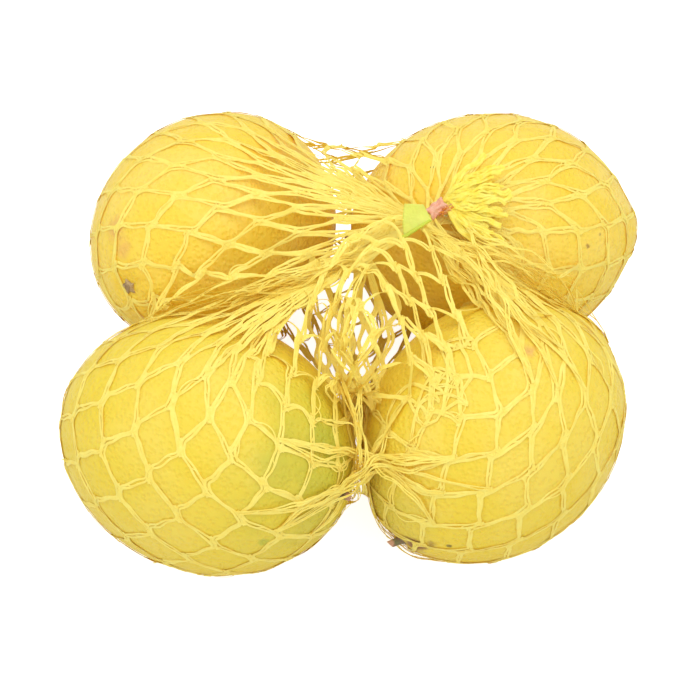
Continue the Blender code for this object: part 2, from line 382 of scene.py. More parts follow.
class Lemon:
    """The shape of one lemon, in millimetres. Its own Z runs to the stem end."""

    def __init__(self, name, settings, seed):
        at = getattr(settings, name + "_at")
        radius, whole = (value / MM for value in getattr(settings, name + "_size"))
        heading, tilt = getattr(settings, name + "_turn")
        stem = np.array(
            [math.cos(heading) * math.cos(tilt), math.sin(heading) * math.cos(tilt), math.sin(tilt)]
        )
        across = np.cross([0.0, 0.0, 1.0], stem)
        across /= np.linalg.norm(across)
        self.name = name
        self.axes = np.stack([across, np.cross(stem, across), stem])
        self.half = np.array([radius, radius, whole / 2])
        low = math.sqrt(radius**2 * (1 - stem[2] ** 2) + (whole / 2 * stem[2]) ** 2)
        self.middle = np.array([at[0] / MM, at[1] / MM, low + settings.floor_gap / MM])
        self.nipple = settings.nipple / MM
        self.shoulder = settings.shoulder / MM
        random = np.random.default_rng(seed)
        waves = random.normal(size=(6, 3))
        self.waves = waves / lengths(waves) * random.uniform(2.0, 5.5, (6, 1))
        self.phases = random.uniform(0.0, 6.28, 6)

    def own(self, points):
        """World points in the lemon's axes, shrunk so that the plain lemon is a ball of radius 1."""
        return turned(points - self.middle, self.axes.T) / self.half

    def world(self, points):
        """The opposite of own."""
        return turned(points * self.half, self.axes) + self.middle

    def swell(self, ball):
        """How far the real lemon stands out of the plain one, in each direction of the ball."""
        rim = self.half[0] * np.hypot(ball[..., 0], ball[..., 1])
        up = ball[..., 2] > 0
        stem_dimple = STEM_DIMPLE * np.exp(-((rim / STEM_DIMPLE_REACH) ** 2))
        collar = self.shoulder * np.exp(-((rim / COLLAR_REACH) ** 2)) - stem_dimple
        tip_dimple = TIP_DIMPLE * np.exp(-((rim / TIP_DIMPLE_REACH) ** 2))
        nipple = self.nipple * np.exp(-((rim / NIPPLE_REACH) ** 2)) - tip_dimple
        ends = np.where(up, collar, nipple) / self.half[2]
        around = np.arctan2(ball[..., 1], ball[..., 0])
        ridges = np.sin(6 * around + self.phases[0]) + 0.6 * np.sin(9 * around + self.phases[1])
        creases = CREASE_HEIGHT * np.exp(-(((rim - CREASE_AT) / CREASE_REACH) ** 2)) * ridges
        lumps = 0.0
        for wave, phase in zip(self.waves, self.phases):
            lumps = lumps + np.sin((ball * wave).sum(axis=-1) + phase)
        return ends + creases + LUMP_HEIGHT * lumps

    def outward(self, points):
        """How far out each point is, 1 on the skin, and the direction straight off the skin."""
        ball = self.own(points)
        reach = lengths(ball)
        off = turned(ball / self.half, self.axes)
        return reach / (1 + self.swell(ball / reach))[..., None], off / lengths(off)

    def keep_off(self, points, gap):
        """Moves points that are in the lemon, or nearer to it than the gap, straight out."""
        ball = self.own(points)
        # Only points on or close to the lemon can need it.
        near = (ball * ball).sum(axis=-1) < 1.3
        if not near.any():
            return points
        some = ball[near]
        reach = lengths(some)
        need = (1 + self.swell(some / reach))[:, None] + gap / self.half[0]
        points = points.copy()
        points[near] = self.world(some / reach * np.maximum(reach, need))
        return points


def make_lemons(settings):
    """The shapes of the four lemons."""
    return [Lemon(name, settings, 11 + number) for number, name in enumerate(LEMON_NAMES)]


def off_lemons(points, lemons, gap):
    """Points moved off all the lemons and off the floor, the four corners of a strip together."""
    corners = points.reshape(-1, 4 if points.ndim == 4 else 1, 3)
    for lemon in lemons:
        shift = lemon.keep_off(corners, gap) - corners
        most = np.argmax((shift * shift).sum(axis=2), axis=1)
        corners = corners + shift[np.arange(len(corners)), most][:, None]
    corners[:, :, 2] += np.maximum(FILM_OFF_FLOOR - corners[:, :, 2].min(axis=1), 0.0)[:, None]
    return corners.reshape(points.shape)


def off_skin(points, lemons):
    """The direction away from the pile: off one lemon, or between two at a gap."""
    total = np.zeros_like(points)
    for lemon in lemons:
        reach, off = lemon.outward(points)
        # The nearest lemon counts for most.
        total += off * np.exp(-9.0 * np.clip(reach - 1.0, 0.0, 3.0))
    return total / lengths(total)


# ---------------------------------------------------------------- knitted net

# The loose net before it settles: a ball round this middle with this radius, in millimetres.
BALL_MIDDLE = (0.0, 0.0, 30.0)
BALL_RADIUS = 88.0
# Where its joins are crowded: the direction, and how much closer they are. It fades over this angle.
CROWDED = (((-1.0, -0.4, 0.0), 0.35), ((1.0, -0.3, 0.0), 0.25))
CROWD_FADE = math.radians(18.0)
# Half the height of a join over the height of a row, while the net is a ball.
HALF_JOIN = 0.12
# The hollows between the lemons: axis, side, how far out the pull starts, middle and half width along
# the other axis in millimetres, and the pull of one step.
HOLLOWS = (
    (0, -1, 40.0, 0.0, 26.0, 0.6),
    (0, 1, 40.0, 0.0, 26.0, 0.3),
    (1, -1, 36.0, -1.0, 24.0, 0.9),
    (1, 1, 38.0, -1.0, 24.0, 0.1),
)
# The line over the left valley that the cords are drawn to and the reach of the pull along it, in
# millimetres, and the pull of one step on the cords in front of the line and behind it.
VALLEY_X, VALLEY_Y = (-56.0, -6.5, 18.5), (-4.4, 5.0, 16.0)
VALLEY_START, VALLEY_END = -62.0, 12.0
PULL_BACK, PULL_FORWARD = 0.08, 0.04
# How the net settles. Its links start this many times too long, and lose that over a share of the steps.
LOOSE_START, LOOSE_LOSS, LOOSE_PACE = 1.9, 0.9, 1.6
# Then the share of the steps after which the floor holds, friction grips, the lower net is only tucked
# in gently, and nothing draws it into the hollows.
FLOOR_HOLDS, FRICTION_GRIPS, TUCK_EASES, PULL_ENDS = 0.3, 0.8, 0.85, 0.9
# Friction and tuck of one step, before and after that; the tuck works below this height in millimetres.
SLIDING, GRIPPING = 0.05, 0.6
TUCK, GENTLE_TUCK, TUCK_BELOW = 0.04, 0.012, 45.0
# Cords are pressed together at the neck: share of their width there, and millimetres to the full width.
NECK_PRESS, NECK_REACH = 0.35, 22.0
# Half the thickness of the film in a cord, in millimetres, and the light that it lets through.
FILM_HALF_THICK = 0.045
FILM_SHOWS = 0.08
# The cords are shared out over this many pieces.
NET_PIECES = 4


class Web:
    """The net as points and links.

    A join is a top and a foot, and from each foot two legs run to the next row.
    """

    def __init__(self, around, rows, leg, join, parts=3):
        self.around, self.rows, self.parts = around, rows, parts
        self.top = np.arange((rows + 1) * around).reshape(rows + 1, around)
        self.foot = self.top + self.top.size
        self.used = 2 * self.top.size
        self.links = [(self.top.ravel(), self.foot.ravel(), join)]
        self.legs = []
        for side in (0, 1):
            chain = [self.foot[:-1]]
            for _ in range(parts - 1):
                chain.append(self.used + np.arange(rows * around).reshape(rows, around))
                self.used += rows * around
            chain.append(np.array([self.top[row + 1][self.next_to(row, side)] for row in range(rows)]))
            self.legs.append(chain)
            for near, far in zip(chain, chain[1:]):
                self.links.append((near.ravel(), far.ravel(), leg / parts))

    def next_to(self, row, side):
        """The join of the next row that each leg of this side runs to."""
        return (np.arange(self.around) + side - (1 - row % 2)) % self.around

    def round_ball(self, neck, bottom, middle, radius, twist):
        """A loose round net, hung between the neck and the bottom, with its joins crowded to the sides."""
        axis = unit(unit(neck - middle) - unit(bottom - middle))
        east = unit(np.cross([0.0, 0.0, 1.0], axis))
        north = np.cross(axis, east)
        round_about = np.linspace(0.0, 2 * math.pi, 721)
        crowd = np.ones(len(round_about))
        for toward, more in CROWDED:
            heading = math.atan2(float(np.array(toward) @ north), float(np.array(toward) @ east))
            away = (round_about - heading + math.pi) % (2 * math.pi) - math.pi
            crowd += more * np.exp(-((away / CROWD_FADE) ** 2))
        counted = np.concatenate([[0.0], np.cumsum((crowd[1:] + crowd[:-1]) / 2)])
        counted *= 2 * math.pi / counted[-1]
        points = np.zeros((self.used, 3))
        step = 1.0 / self.rows

        def spot(down, angle):
            """The place at this share of the way down, and at this angle round."""
            down = np.clip(down, 0.0, 1.0)
            turn_down = math.pi * down
            flat = np.cos(angle)[:, None] * east + np.sin(angle)[:, None] * north
            point = middle + radius * (math.cos(turn_down) * axis + math.sin(turn_down) * flat)
            pull_up = max(0.0, 1 - 3 * down) ** 2
            pull_down = max(0.0, 3 * down - 2) ** 2
            point += (neck - middle - radius * axis) * pull_up
            return point + (bottom - middle + radius * axis) * pull_down

        for row in range(self.rows + 1):
            angle = 2 * math.pi * (np.arange(self.around) + 0.5 * (row % 2)) / self.around
            angle = np.interp(angle % (2 * math.pi), counted, round_about)
            points[self.top[row]] = spot((row - HALF_JOIN) * step, angle)
            points[self.foot[row]] = spot((row + HALF_JOIN) * step, angle)
        for chain in self.legs:
            for number, middle_points in enumerate(chain[1:-1], 1):
                share = number / self.parts
                points[middle_points.ravel()] = (
                    points[chain[0].ravel()] * (1 - share) + points[chain[-1].ravel()] * share
                )
        reach = points - middle
        upward = reach @ axis
        angle = twist * np.arccos(np.clip(upward / lengths(reach)[:, 0], -1.0, 1.0)) / math.pi
        cos, sin = np.cos(angle)[:, None], np.sin(angle)[:, None]
        points = middle + reach * cos + np.cross(axis, reach) * sin + axis * upward[:, None] * (1 - cos)
        return points, axis, east, north

    def ends(self, neck, bottom, axis, east, north):
        """The points held in a ring at the neck and at the bottom, and where they are held."""
        angle = 2 * math.pi * np.arange(self.around) / self.around
        ring = np.cos(angle)[:, None] * east + np.sin(angle)[:, None] * north
        held = np.concatenate([self.top[0], self.foot[0], self.top[-1], self.foot[-1]])
        neck_foot = neck + 1.1 * ring - 2.4 * axis
        bottom_top = bottom + 2 * ring + 1.4 * axis
        where = np.concatenate([neck + 1.0 * ring, neck_foot, bottom_top, bottom + 2 * ring])
        return held, where


def rub(points, before, lemons, grip, floor):
    """Keeps the net out of the lemons and the floor, and holds back its sliding by the grip."""
    for lemon in lemons:
        ball = lemon.own(points)
        # Points that are close to the lemon, and then those that are really in it.
        inside = np.nonzero((ball * ball).sum(axis=1) < 1.2)[0]
        if not len(inside):
            continue
        some = ball[inside]
        reach = lengths(some)
        need = (1 + lemon.swell(some / reach))[:, None] + CORD_OFF_PEEL / lemon.half[0]
        deep = reach[:, 0] < need[:, 0]
        if not deep.any():
            continue
        inside, some, reach, need = inside[deep], some[deep], reach[deep], need[deep]
        off = turned(some / lemon.half, lemon.axes)
        off /= lengths(off)
        moved = lemon.world(some / reach * need)
        shift = moved - points[inside]
        out = (shift * off).sum(axis=1, keepdims=True)
        points[inside] += off * out
        slide = points[inside] - before[inside]
        slide -= (slide * off).sum(axis=1, keepdims=True) * off
        points[inside] -= slide * grip
    if floor is not None:
        low = points[:, 2] < floor
        points[low, 2] = floor
        points[low, :2] -= (points[low, :2] - before[low, :2]) * grip


def pull_in(points):
    """Draws the net into the hollows between the lemons: left, right, front and back."""
    for axis, sign, start, across, half, pull in HOLLOWS:
        far = part_of(points[:, axis] * sign - start, 8.0)
        level = part_of(half - np.abs(points[:, 1 - axis] - across), 6.0)
        under = part_of(50.0 - points[:, 2], 10.0)
        points[:, axis] -= sign * pull * far * level * under


def gather_left(points):
    """Draws the cords over the left valley together into a band, from the neck to the left hollow."""
    line = np.interp(points[:, 0], VALLEY_X, VALLEY_Y)
    aside = line - points[:, 1]
    far = np.abs(aside)
    over = part_of(far, 3.0) * part_of(24.0 - far, 10.0)
    over *= part_of(points[:, 2] - 34.0, 8.0)
    over[(points[:, 0] > VALLEY_END) | (points[:, 0] < VALLEY_START)] = 0.0
    points[:, 1] += np.where(aside > 0, PULL_BACK, PULL_FORWARD) * np.sign(aside) * over


def settle(web, points, held, where, lemons, steps=360, sweeps=14):
    """Shrinks the loose net on to the lemons, a little at a time, until it hangs at its own size."""
    free = np.ones(len(points))
    free[held] = 0.0
    speed = np.zeros_like(points)
    bottom_middle = np.array([0.0, 0.0, 10.0])
    carry, weight, most_speed, push_back = 0.85, 0.01, 3.0, 0.15
    for step in range(steps):
        share = step / steps
        loose = LOOSE_START - LOOSE_LOSS * min(1.0, LOOSE_PACE * share)
        grip = SLIDING if share < FRICTION_GRIPS else GRIPPING
        tuck = TUCK if share < TUCK_EASES else GENTLE_TUCK
        floor = None if share < FLOOR_HOLDS else CORD_OFF_FLOOR
        before = points.copy()
        points = points + speed * carry
        points[:, 2] -= weight
        inward = bottom_middle - points
        inward[:, 2] *= 0.3
        low = part_of(TUCK_BELOW - points[:, 2], 12.0)[:, None]
        points += inward / lengths(inward) * low * tuck
        if share < PULL_ENDS:
            pull_in(points)
            gather_left(points)
        points[held] = where
        for sweep in range(sweeps):
            for near, far, rest in web.links:
                apart = points[far] - points[near]
                long = lengths(apart)
                over = long - rest * loose
                over = np.where(over < 0, push_back * over, over)
                both = (free[near] + free[far] + 1e-9)[:, None]
                step_in = over / long / both * apart
                points[near] += step_in * free[near][:, None]
                points[far] -= step_in * free[far][:, None]
            last = sweep == sweeps - 1
            if last or sweep % 3 == 2:
                rub(points, before, lemons, grip if last else 0.0, floor)
        points[held] = where
        speed = points - before
        fast = lengths(speed)
        speed *= np.minimum(1.0, most_speed / fast)
    return points


def follow_cords(web):
    """Point numbers down each knitted cord, and which side of its joins it keeps to."""
    numbers, sides = [], []
    for first in (0, 1):
        join = np.arange(web.around)
        side = first
        cord, lean = [], []
        for row in range(web.rows):
            sign = 1.0 if side else -1.0
            cord += [web.top[row][join], web.foot[row][join]]
            lean += [sign, sign]
            for part in range(1, web.parts):
                cord.append(web.legs[side][part][row][join])
                lean.append(sign * (1 - 2 * part / web.parts))
            join = web.next_to(row, side)[join]
            side = 1 - side
        cord += [web.top[-1][join], web.foot[-1][join]]
        lean += [1.0 if side else -1.0] * 2
        numbers.append(np.array(cord).T)
        sides.append(np.broadcast_to(lean, (web.around, len(lean))))
    return np.concatenate(numbers), np.concatenate(sides)


def smooth_through(points, parts):
    """A smooth curve through the points of each strand, with that many parts to a step."""
    first = 2 * points[:, :1] - points[:, 1:2]
    last = 2 * points[:, -1:] - points[:, -2:-1]
    ends = np.concatenate([first, points, last], axis=1)
    before, start, end, after = ends[:, :-3], ends[:, 1:-2], ends[:, 2:-1], ends[:, 3:]
    pieces = []
    for part in range(parts):
        t = part / parts
        pieces.append(
            0.5
            * (
                2 * start
                + (end - before) * t
                + (2 * before - 5 * start + 4 * end - after) * t**2
                + (3 * start - before - 3 * end + after) * t**3
            )
        )
    curve = np.stack(pieces, axis=2).reshape(len(points), -1, points.shape[2])
    return np.concatenate([curve, points[:, -1:]], axis=1)


def along(points):
    """Direction of travel at each point of each strand."""
    ahead = np.concatenate([points[:, 1:], points[:, -1:]], axis=1)
    behind = np.concatenate([points[:, :1], points[:, :-1]], axis=1)
    return (ahead - behind) / lengths(ahead - behind)


def travelled(points):
    """Millimetres from the start of each strand to each point."""
    steps = lengths(np.diff(points, axis=1))[..., 0]
    return np.concatenate([np.zeros((len(points), 1)), np.cumsum(steps, axis=1)], axis=1)


def film(path, across, up, half_width, half_thick):
    """Corners of a flat strip with a diamond section round each path: strands, points, 4, 3."""
    return np.stack(
        [
            path + across * half_width,
            path + up * half_thick,
            path - across * half_width,
            path - up * half_thick,
        ],
        axis=2,
    )


def ribbon(path, up, half_width, half_thick):
    """Film that follows each path and lies flat to the up direction."""
    way = along(path)
    across = np.cross(up, way)
    across /= lengths(across)
    return film(path, across, np.cross(way, across), half_width, half_thick)


def strip_faces(strands, points):
    """Faces of the strips, with their ends closed."""
    corner = np.arange(strands * points * 4).reshape(strands, points, 4)
    here, there = corner[:, :-1], corner[:, 1:]
    walls = np.stack(
        [here, np.roll(here, -1, axis=2), np.roll(there, -1, axis=2), there], axis=-1
    ).reshape(-1, 4)
    return np.concatenate([walls, corner[:, 0, ::-1], corner[:, -1]])


def strips_piece(name, batches):
    """One piece of several batches of strip corners in millimetres, with the crisp faces of folded film."""
    corners, faces, used = [], [], 0
    for batch in batches:
        corners.append(batch.reshape(-1, 3))
        faces.append(strip_faces(batch.shape[0], batch.shape[1]) + used)
        used += corners[-1].shape[0]
    mesh = bpy.data.meshes.new(name)
    mesh.from_pydata((np.concatenate(corners) * MM).tolist(), [], np.concatenate(faces).tolist())
    mesh.update()
    piece = bpy.data.objects.new(name, mesh)
    bpy.context.scene.collection.objects.link(piece)
    return piece


def pressed(points, neck):
    """Share of their full width that cords have at these points, which is less near the neck."""
    return np.clip(lengths(points - neck) / NECK_REACH, NECK_PRESS, 1.0)


def arch(count):
    """0 at both ends of a strand and 1 in its middle."""
    return np.sin(np.linspace(0.0, math.pi, count))[None, :, None]


def either_side(random, low, high, count):
    """Lengths from low to high, some to the left and some to the right."""
    return random.uniform(low, high, count) * np.where(random.random(count) < 0.5, 1.0, -1.0)


def tied(strands, joins):
    """The strands with both their ends moved to the nearest joins."""
    for end in (0, -1):
        apart = lengths(joins - strands[:, end, None])[..., 0]
        strands[:, end] = joins[apart.argmin(axis=1)]
    return strands


def knit(path, up, random, width, film_width, crowd):
    """Three strips of film for each cord: its two edges, and one that wanders from edge to edge."""
    way = along(path)
    up = up - (up * way).sum(axis=-1, keepdims=True) * way
    up /= lengths(up)
    across = np.cross(up, way)
    gone = travelled(path)
    count = len(path)
    phase = random.uniform(0, 6.28, (7, count, 1))

    def wave(reach, number):
        """A wave along each cord that turns by one radian in this many millimetres."""
        return np.sin(gone / reach + phase[number])

    twist = 0.12 * wave(6.1, 0) + 0.10 * wave(2.7, 1)
    cos, sin = np.cos(twist)[..., None], np.sin(twist)[..., None]
    flat, high = across * cos + up * sin, up * cos - across * sin
    open_up = 0.85 + 0.35 * wave(1.9, 2) + 0.25 * wave(4.3, 5)
    gap = 0.5 * (width - film_width) * crowd * open_up[..., None]
    wobble = 0.07 * wave(0.9, 3)[..., None]
    half = 0.5 * film_width * (0.55 + 0.45 * crowd) * (1 + 0.2 * wave(3.1, 6))[..., None]
    over = np.tanh(3.0 * wave(1.7, 4))[..., None]
    # Each strip: how far it lies aside of the middle, its share of the film's width, and its lift.
    lanes = ((gap + wobble, 1.0, 0.0), (-gap + wobble, 1.0, 0.0), (over * gap, 0.62, 0.08))
    strips = []
    for offset, thin, lift in lanes:
        centre = path + flat * offset + high * (lift + 0.03 * wave(1.3, 4))[..., None]
        strips.append(film(centre, flat, high, half * thin, FILM_HALF_THICK))
    return strips


# ---------------------------------------------------------------- finishes

# What marks each lemon: middle, radius and edge softness in millimetres, kind, strength.
MARKS = {
    "front_left": (((-22, -66, 35), 1.7, 1.2, "green", 0.8), ((-14, -64, 30), 2.0, 2.0, "brown", 0.2)),
    "front_right": (
        ((41, -29, 61), 2.4, 1.9, "scuff", 0.85),
        ((38, -31, 61), 0.8, 0.5, "brown", 0.45),
        ((14.2, -57.2, 21.5), 4.2, 2.2, "brown", 0.95),
        ((18, -60, 25), 2.2, 1.6, "brown", 0.6),
        ((22.3, -61.3, 26.4), 0.9, 0.5, "dark", 0.7),
    ),
    "back_left": (
        ((-60, 19.5, 48.5), 4.8, 3.8, "scuff", 0.75),
        ((-58.5, 14, 47.5), 3.8, 3.2, "scuff", 0.65),
        # Painted shade in the dimple round the stem of the back left lemon.
        ((-57, 9, 42), 7.0, 6.0, "ripe_and_painted_shade", 0.5),
        ((-45, 9, 50), 1.2, 1.0, "brown", 0.25),
    ),
    "back_right": (
        ((19, 32, 58), 0.7, 0.3, "dark", 0.9),
        ((58, 16, 46), 0.9, 0.6, "brown", 0.7),
        ((61, 20, 46), 0.7, 0.5, "brown", 0.6),
        ((52, 35, 58), 0.7, 0.5, "brown", 0.4),
    ),
}
# Where surplus net lies in bunches and bands: cords, spread, then way points, all in millimetres.
FOLDS = (
    # Across the crease between the front lemons, three times, and down it.
    (7, 1.3, (-21, -65, 40), (-13, -60, 41), (-6, -55, 40), (0, -49, 38), (6, -46, 40), (13, -50, 45),
     (22, -53, 48)),
    (5, 1.2, (-17, -50, 55), (-9, -49, 49), (-3, -46, 44), (3, -45, 40), (9, -49, 41), (15, -55, 41),
     (21, -59, 39)),
    (4, 1.2, (-9, -58, 34), (-3, -50, 37), (3, -45, 38), (7, -43, 43), (11, -42, 50)),
    (7, 1.5, (-3, -34, 51), (-1, -40, 49), (0, -45, 44), (0, -47.5, 38), (0, -48.5, 32), (0, -46, 24)),
    # From the neck over the left valley, over the right valley and over the front right lemon.
    (15, 2.6, (10, 10, 57), (3, 5, 57), (-4, 0, 58), (-11, -5, 58), (-18, -8, 58), (-26, -10, 58),
     (-33, -11, 56), (-50, -7, 48)),
    (16, 2.8, (22, 11, 57), (27, 7, 57), (34, 3.5, 57), (41, -1, 56), (48, -4, 53), (55, -5, 48)),
    (12, 3.0, (27, 8, 57), (28, 1, 59), (31, -7, 61), (35, -15, 63), (40, -23, 63), (47, -31, 60)),
    # Loose round the lower edge of the front right lemon.
    (4, 0.7, (5, -46, 28.5), (6, -48, 23), (7.7, -50, 17.9), (9.9, -51, 15.8), (13.4, -52, 12.8),
     (16.8, -52, 10.6), (22, -51, 7), (28, -48, 5)),
)
# Where most of the loose loops of film lie, in millimetres, and how far round it they are scattered.
BUNCHED_AT, BUNCHED_REACH = (0.0, -47.0, 40.0), 15.0
# Where the net lies double: middle and reach in millimetres, share of the cords that show twice.
DOUBLES = (((-2.0, -21.0, 57.0), (13.0, 10.0, 14.0), 0.22), ((22.0, -36.0, 58.0), (15.0, 13.0, 14.0), 0.15))
# The slack net under the top layer in the middle: its cords, bends in each and sag, and for both ends
# the place of the leftmost cord and the step to the next one, in millimetres.
UNDER_CORDS, UNDER_BENDS, UNDER_SAG = 9, 9, 7.0
UNDER_FROM, UNDER_FROM_STEP = (-5.5, -30.0, 44.0), 1.2
UNDER_TO, UNDER_TO_STEP = (-13.0, 3.0, 47.0), 2.9
# Each stem: half width of its star in millimetres, its height over that width, and which way it is
# shifted and leans.
STEM_SIZES = {
    "front_left": (2.4, 1.05, (-0.5, 1.6), (-0.25, 0.30)),
    "front_right": (2.5, 0.95, (1.9, 1.5), (-0.35, 0.50)),
    "back_left": (2.0, 0.10, (0.0, 0.0), (0.0, 0.0)),
    "back_right": (2.6, 0.55, (0.0, 0.0), (0.2, 0.1)),
}
# The star's steps from its foot to the cut stem, over its half width: how far each draws in and rises.
STAR_STEPS, CUT_STEPS = ((0.16, 0.10), (0.22, 0.06), (0.20, 0.04)), ((0.05, 0.05), (0.10, -0.06))
# Which way the tail grows from the clip and which way it faces, and the number of its cords.
TAIL_GROWS, TAIL_FACES, TAIL_CORDS = (0.90, -0.10, 0.10), (-0.22, -0.42, 0.88), 64
# Crimps round the clip, as shares of its length, and their depth in millimetres.
CRIMPS, CRIMP_DEPTH = (0.30, 0.68), 0.28
# Curls of torn tape at the outer end of the clip.
TAPE_CURLS = 15
# Corners of the tag on its own face, in millimetres: low left, low right, high left, high right.
TAG_CORNERS = ((-1.9, -8.3), (4.9, -2.7), (-2.3, 3.0), (2.4, 2.5))
# Which way it faces and which way is up on it, and the share that is folded back up over its front.
TAG_FACES, TAG_UPRIGHT = (-0.15, -0.52, 0.84), (0.0, 1.0, 0.35)
TAG_FOLD = 0.2
# How far each lemon leans to the fresh yellow.
FRESH = {"front_left": 0.42, "front_right": 0.32, "back_left": 0.0, "back_right": 0.0}
# Green blushes: middle and radius in millimetres, strength.
GREEN = {
    "front_left": (((-8, -47, 49), 24.0, 0.95), ((-14, -60, 42), 26.0, 0.5)),
    "front_right": (((4, -48, 26), 24.0, 0.5),),
}
# The lamps over the stage: name, place and width in metres, power in watts. All face one point.
LIGHTS = (
    ("top_light", (0.05, 0.12, 1.10), 0.9, 3.7),
    ("left_light", (-0.95, -0.35, 0.75), 0.7, 1.2),
    ("front_light", (0.30, -0.80, 1.00), 0.7, 2.0),
)
LIGHTS_FACE = (0.0, 0.0, 0.03)


def peel_finish(name, settings):
    """Waxy peel with oil pores, paler and deeper clouds, a green blush and the marks of this lemon, with
    painted shade low down and in the back left lemon's stem dimple.
    """
    finish = Finish(
        "peel_" + name,
        Subsurface_Weight=0.16,
        Subsurface_Scale=0.004,
        Subsurface_Radius=(1.0, 0.62, 0.12),
        Ior=1.42,
    )
    moved = finish.shifted(0.35, 1.6)
    pore_size = settings.pore_spacing / MM
    pores = finish.cells(pore_size, moved)
    pit = 1 - pores.ramp(0.12, 0.66)
    clouds = finish.noise(19.0, 3.0, 0.55)
    fine = finish.noise(2.6, 4.0, 0.6)
    base = finish.mix(clouds.ramp(0.35, 0.68), settings.lemon, settings.pale)
    base = finish.mix(FRESH[name], base, settings.fresh)
    base = finish.mix(fine.ramp(0.45, 0.8) * 0.22, base, settings.ripe_and_painted_shade)
    base = finish.mix(pit * 0.16, base, settings.ripe_and_painted_shade)
    # Painted shade: from 30 mm high down to the floor the peel is mixed more and more towards the deeper
    # colour.
    height = finish.node("ShaderNodeSeparateXYZ", inputs={"Vector": finish.at}, output="Z")
    base = finish.mix(height.ramp(30 * MM, 2 * MM) * 0.55, base, settings.ripe_and_painted_shade)
    for middle, radius, strength in GREEN.get(name, ()):
        patchy = finish.noise(9.0, 3.0, 0.6).ramp(0.3, 0.62) * 0.5 + 0.5
        blush = finish.distance(finish.shifted(8.0, 16.0), middle).ramp(radius * MM, 0.0)
        base = finish.mix(blush * patchy * strength, base, settings.green)
    for middle, radius, soft, kind, strength in MARKS[name]:
        wavy = finish.shifted(radius * 0.5, radius * 0.9)
        mark = finish.distance(wavy, middle).ramp(radius * MM, (radius - soft) * MM)
        base = finish.mix(mark * strength, base, getattr(settings, kind))
    finish.join("Base Color", base)
    finish.join("Roughness", 0.36 + pit * 0.12 + fine * 0.12)
    swellings = finish.noise(7.0, 2.0, 0.5)
    first = finish.bump(swellings, 0.5, 0.6)
    finish.join("Normal", finish.bump((1 - pit) + fine * 0.35, 0.16, 0.9, first))
    return finish


def net_finish(name, bright, deep):
    """Thin shiny yellow film, a little uneven in colour, that lets some light through."""
    finish = Finish(name)
    streaks = finish.noise(1.7, 2.0, 0.6)
    broad = finish.noise(11.0, 2.0, 0.5)
    base = finish.mix(streaks.ramp(0.3, 0.7) * 0.6 + broad.ramp(0.35, 0.75) * 0.3, bright, deep)
    finish.join("Base Color", base)
    finish.join("Roughness", 0.38 + streaks * 0.25)
    finish.let_through(FILM_SHOWS, base)
    return finish


def stem_finish(name, settings, tip, cut_radius):
    """Dry green and brown star with a pale cut end, or a tan star that has lost its stem."""
    finish = Finish("stem_" + name)
    cloud = finish.noise(1.6, 4.0, 0.65)
    fine = finish.noise(0.45, 3.0, 0.6)
    green, brown, pale = settings.stem_green, settings.stem_brown, settings.stem_cut
    if name == "back_left":
        green, brown, pale = settings.dry_tan, settings.dry_brown, settings.dry_brown
    base = finish.mix(cloud.ramp(0.38, 0.62), green, brown)
    from_tip = finish.distance(finish.shifted(0.25, 0.8), tip)
    cut = from_tip.ramp(cut_radius * 1.35 * MM, cut_radius * MM)
    base = finish.mix(cut * (0.65 + fine * 0.5), base, pale)
    finish.join("Base Color", base)
    finish.join("Roughness", 0.62 + fine * 0.25)
    finish.join("Normal", finish.bump(cloud + fine * 0.5, 0.25))
    return finish


def clip_finish(settings):
    """Crumpled pink foil, with clouds of a paler pink as painted highlight, scuffed to orange at the rim.
    """
    finish = Finish("clip_foil", Coat_Weight=0.25)
    cloud = finish.noise(1.1, 4.0, 0.6)
    fine = finish.noise(0.3, 3.0, 0.6)
    # Painted highlight: noise clouds mix the pink towards a paler pink.
    base = finish.mix(cloud.ramp(0.36, 0.66), settings.clip_pink, settings.clip_painted_highlight)
    base = finish.mix(fine.ramp(0.55, 0.8) * 0.6, base, settings.fray_orange)
    finish.join("Base Color", base)
    finish.join("Roughness", 0.30 + cloud * 0.25)
    finish.join("Normal", finish.bump(cloud * 0.7 + fine * 0.3, 0.22))
    return finish


def tape_finish(settings):
    """Torn tape, mostly orange with some pink and pale green."""
    finish = Finish("torn_tape")
    cloud = finish.noise(1.3, 2.0, 0.5)
    other = finish.noise(2.1, 1.0, 0.5)
    base = finish.mix(cloud.ramp(0.40, 0.60), settings.fray_orange, settings.fray_pink)
    base = finish.mix(other.ramp(0.64, 0.70), base, settings.fray_green)
    finish.join("Base Color", base)
    finish.join("Roughness", 0.4 + cloud * 0.2)
    return finish


def tag_finish(settings):
    """Lime film, darker where it lies double, with faint creases."""
    finish = Finish("tag_film", Subsurface_Weight=0.2, Subsurface_Scale=0.002)
    doubled = finish.node("ShaderNodeAttribute", {"attribute_name": "doubled"}, output="Fac")
    cloud = finish.noise(2.4, 3.0, 0.5)
    fine = finish.noise(0.5, 3.0, 0.6)
    pale = tuple(c * 0.94 for c in settings.tag_lime)
    base = finish.mix(cloud.ramp(0.35, 0.65), settings.tag_lime, pale)
    base = finish.mix(doubled * 0.85, base, settings.tag_fold)
    finish.join("Base Color", base)
    finish.join("Roughness", 0.32 + fine * 0.2)
    finish.join("Normal", finish.bump(cloud, 0.3))
    return finish


# ---------------------------------------------------------------- operators


